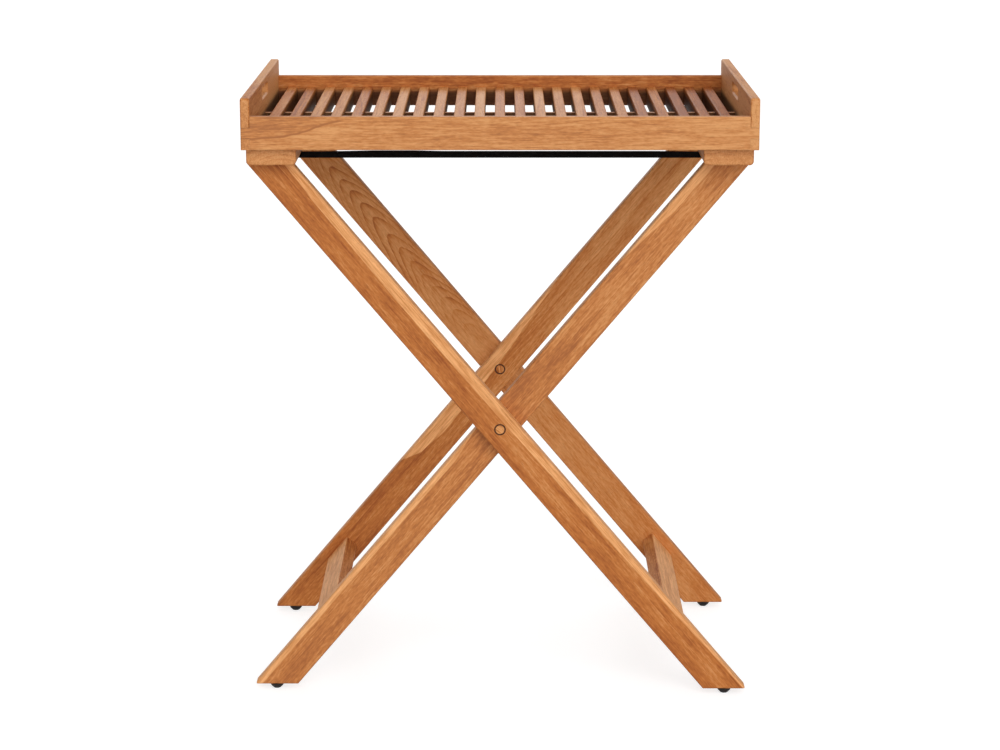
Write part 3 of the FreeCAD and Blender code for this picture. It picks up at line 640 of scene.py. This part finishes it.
def strap(name, node, material):
    """A woven strap: ribs along it, rounded selvedges, stretched between the two top rails."""
    low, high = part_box(node)
    middle = (low.y + high.y) / 2
    half = (high.y - low.y) / 2
    level = (low.z + high.z) / 2
    thick = (high.z - low.z) / 2
    columns = STRAP_RIBS * RIB_COLUMNS
    mesh = bmesh.new()
    rows = []
    for i in range(STRAP_STEPS + 1):
        x = low.x + (high.x - low.x) * i / STRAP_STEPS
        lift = strap_lift(x)
        ring = []
        for side in (1.0, -1.0):
            for j in range(columns + 1):
                share = -side + 2.0 * side * j / columns
                swell = abs(math.cos(math.pi * j / RIB_COLUMNS))
                edge = math.sqrt(max(0.0, 1.0 - abs(share) ** SELVEDGE_POWER))
                height = (thick - RIB_RISE * (1.0 - swell)) * edge
                z = level + side * height + lift * (1.0 + share) / 2
                ring.append(mesh.verts.new((x, middle + share * half, z)))
        rows.append(ring)
    count = len(rows[0])
    for near, far in zip(rows, rows[1:]):
        for j in range(count):
            k = (j + 1) % count
            mesh.faces.new((near[j], near[k], far[k], far[j]))
    mesh.faces.new(rows[0])
    mesh.faces.new(list(reversed(rows[-1])))
    bmesh.ops.remove_doubles(mesh, verts=mesh.verts, dist=MERGE_DISTANCE)
    bmesh.ops.recalc_face_normals(mesh, faces=mesh.faces)
    data = bpy.data.meshes.new(name)
    mesh.to_mesh(data)
    mesh.free()
    data.shade_smooth()
    data.materials.append(material)
    piece = bpy.data.objects.new(name, data)
    bpy.context.scene.collection.objects.link(piece)
    return piece


def give(node, material):
    """Puts a material on a node of the part, in place of what it had."""
    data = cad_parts[node].data
    data.materials.clear()
    data.materials.append(material)


def board(node, origin, axes, tone, seed, **looks):
    """Puts teak of its own on a board of the part."""
    give(node, board_teak(f"{node}_teak", TEAK, origin, axes, tone, seed, **looks))


def add_lamp(name, data, place, turn):
    lamp = bpy.data.objects.new(name, data)
    bpy.context.scene.collection.objects.link(lamp)
    lamp.location = place
    lamp.rotation_euler = turn.to_euler()
    return lamp


def add_light(name, place, aim, size, power):
    """A rectangular lamp that looks at aim and is not seen itself."""
    data = bpy.data.lights.new(name, "AREA")
    data.shape = "RECTANGLE"
    data.size, data.size_y = size
    data.energy = power
    lamp = add_lamp(name, data, place, (Vector(aim) - Vector(place)).to_track_quat("-Z", "Y"))
    lamp.visible_camera = False


def add_sun(name, place, strength):
    """A sun that shines from place towards the origin."""
    data = bpy.data.lights.new(name, "SUN")
    data.angle = SUN_SPREAD
    data.energy = strength
    add_lamp(name, data, place, Vector(place).to_track_quat("Z", "Y"))


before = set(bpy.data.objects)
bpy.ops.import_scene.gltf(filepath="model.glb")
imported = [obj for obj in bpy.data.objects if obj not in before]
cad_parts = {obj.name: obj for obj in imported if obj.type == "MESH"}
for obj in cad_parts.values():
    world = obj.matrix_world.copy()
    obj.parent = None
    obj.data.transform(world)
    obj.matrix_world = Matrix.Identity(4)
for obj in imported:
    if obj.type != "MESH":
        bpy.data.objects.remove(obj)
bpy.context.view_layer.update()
scene = bpy.context.scene
scene.view_settings.view_transform = "Standard"

camera_data = bpy.data.cameras.new("camera")
camera_data.lens = CAMERA_LENS
camera_data.sensor_width = CAMERA_SENSOR
camera = bpy.data.objects.new("camera", camera_data)
scene.collection.objects.link(camera)
camera.location = CAMERA_PLACE
camera.rotation_euler = (math.pi / 2 - CAMERA_TILT, 0.0, 0.0)
scene.camera = camera

# Teak legs. Each is cut from the log in its own way, with tones and painted light along its upper edge
# after the photograph.
TEAK = teak_group()
PIVOT = (0.0, 0.0, PIVOT_LEVEL)
board(
    "outer_front_leg", PIVOT, OUTER_AXES, tone=0.41, seed=1.3, pith=(-30.0, -240.0, 0.004), ring=8.0,
    strength=0.45, figure=0.70, sap=OUTER_FRONT_LIT_EDGE, plugged=True,
)
board(
    "inner_front_leg", PIVOT, INNER_AXES, tone=(0.46, 0.58), seed=4.7, pith=(10.0, -215.0, 0.006),
    ring=7.0, strength=0.6, figure=1.0, sap=INNER_FRONT_LIT_EDGE, plugged=True, pale=0.45,
)
# The back legs grow lighter towards their tops: painted light against the shade that falls under the tray.
board(
    "outer_back_leg", PIVOT, OUTER_AXES, tone=(0.60, 0.80), seed=7.9, pith=(2.0, 150.0, 0.20),
    ring=4.4, strength=1.55, figure=0.6, arched=(40.0, 170.0), plugged=True,
)
board(
    "inner_back_leg", PIVOT, INNER_AXES, tone=(0.44, 0.74), seed=11.2, pith=(-24.0, 110.0, 0.010),
    ring=8.0, strength=0.6, figure=0.75, sap=INNER_BACK_LIT_EDGE, plugged=True,
)

# The tray's boards
board(
    "tray_front_rail", (0.0, -RAIL_DEPTH, RAIL_LEVEL), RAIL_AXES, tone=0.66, seed=15.4,
    pith=(-60.0, 20.0, -0.070), ring=4.6, strength=0.55, figure=1.15, lined=True, pale=0.85,
)
board(
    "tray_back_rail", (0.0, RAIL_DEPTH, RAIL_LEVEL), RAIL_AXES, tone=0.45, seed=19.6,
    pith=(20.0, -36.0, -0.012), ring=8.0, strength=0.8, grimy=TO_FRONT,
)
board(
    "tray_left_end", (-END_SIDE, 0.0, END_LEVEL), END_AXES, tone=(0.56, 1.45), seed=23.1,
    pith=(-20.0, -40.0, 0.02), ring=8.0, strength=0.7, grimy=X,
)
board(
    "tray_right_end", (END_SIDE, 0.0, END_LEVEL), END_AXES, tone=0.98, seed=27.8,
    pith=(16.0, 38.0, -0.02), ring=8.0, strength=0.7, grimy=TO_LEFT,
)
board("tray_batten", (0.0, 0.0, BATTEN_LEVEL), RAIL_AXES, tone=0.8, seed=31.5, grimy=TO_FRONT)

# The stand's cross pieces
board(
    "outer_top_rail", (-TOP_RAIL_SIDE, 0.0, TOP_RAIL_LEVEL), TOP_RAIL_AXES, tone=0.78, seed=35.2,
    pith=(10.0, -48.0, 0.02),
)
board(
    "inner_top_rail", (TOP_RAIL_SIDE, 0.0, TOP_RAIL_LEVEL), TOP_RAIL_AXES, tone=0.74, seed=39.9,
    pith=(-14.0, -36.0, -0.02),
)
# The stretchers' upper wide faces have painted light all over, where light from above falls.
board(
    "outer_stretcher", (STRETCHER_SIDE, 0.0, STRETCHER_LEVEL), (Y, OUTER_AXES[0], OUTER_AXES[1]),
    tone=0.62, seed=43.3, skin=STRETCHER_LIT_FACE,
)
board(
    "inner_stretcher", (-STRETCHER_SIDE, 0.0, STRETCHER_LEVEL), (Y, INNER_AXES[0], INNER_AXES[1]),
    tone=0.62, seed=47.6, skin=STRETCHER_LIT_FACE,
)
for index, (plug, turn) in enumerate(PLUG_TURNS.items()):
    cosine, sine = math.cos(math.radians(turn)), math.sin(math.radians(turn))
    board(
        plug, PIVOT, ((cosine, 0.0, sine), (-sine, 0.0, cosine), Y),
        tone=PLUG_TONE + PLUG_TONE_STEP * index, seed=PLUG_SEED + PLUG_SEED_STEP * index,
        ring=2.6, strength=1.2, figure=1.8, plugged=True,
    )

# Slats, feet and fasteners
SLATS = slat_teak(TEAK)
for number in range(1, SLAT_COUNT + 1):
    give(f"slat_{number:02d}", SLATS)
PLASTIC = glide_plastic()
for node in ("outer_glides", "inner_glides"):
    give(node, PLASTIC)
STEEL = steel()
for node in ("pivot_bolts", "pivot_nuts", "outer_strap_tacks", "inner_strap_tacks"):
    give(node, STEEL)

# Straps
WEBBING = webbing_cloth()
for side in ("front", "back"):
    piece = strap(f"{side}_webbing", f"{side}_strap", WEBBING)
    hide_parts(f"{side}_strap")
    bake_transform(piece)

# A white floor that keeps the shadow: its glow is for the camera alone and lights nothing.
bpy.ops.mesh.primitive_plane_add(size=FLOOR_SIZE, location=(0.0, 0.0, 0.0))
floor = bpy.context.object
floor.name = "floor"
floor_material = bpy.data.materials.new("floor")
floor_material.use_nodes = True
floor_material.node_tree.nodes.clear()
g = Graph(floor_material.node_tree)
lit = g.node("ShaderNodeBsdfDiffuse", {"Color": FLOOR_LIT}).outputs[0]
soft = g.node("ShaderNodeBsdfDiffuse", {"Color": FLOOR_SHOWN}).outputs[0]
glow = g.node("ShaderNodeEmission", {"Strength": FLOOR_GLOW}).outputs[0]
shown = g.node("ShaderNodeAddShader", {0: soft, 1: glow}).outputs[0]
whole = g.node("ShaderNodeMixShader", {0: g.seen(), 1: lit, 2: shown}).outputs[0]
g.put(g.node("ShaderNodeOutputMaterial").inputs["Surface"], whole)
floor.data.materials.append(floor_material)

# A sky that is white to the camera, and dimmer where it lights the part.
world = bpy.data.worlds.new("studio")
scene.world = world
world.use_nodes = True
world.node_tree.nodes.clear()
g = Graph(world.node_tree)
height = g.split(g.node("ShaderNodeTexCoord").outputs["Generated"])[2]
around = g.spread(height, *SKY_HEIGHTS, *SKY_STRENGTHS)
strength = g.plus(around, g.seen(), g.math("SUBTRACT", 1.0, around))
sky = g.node("ShaderNodeBackground", {"Color": WHITE, "Strength": strength}).outputs[0]
g.put(g.node("ShaderNodeOutputWorld").inputs["Surface"], sky)

add_sun("key", KEY_PLACE, KEY_STRENGTH)
add_sun("fill", FILL_PLACE, FILL_STRENGTH)
add_light("sheen", SHEEN_PLACE, SHEEN_AIM, SHEEN_SIZE, SHEEN_POWER)
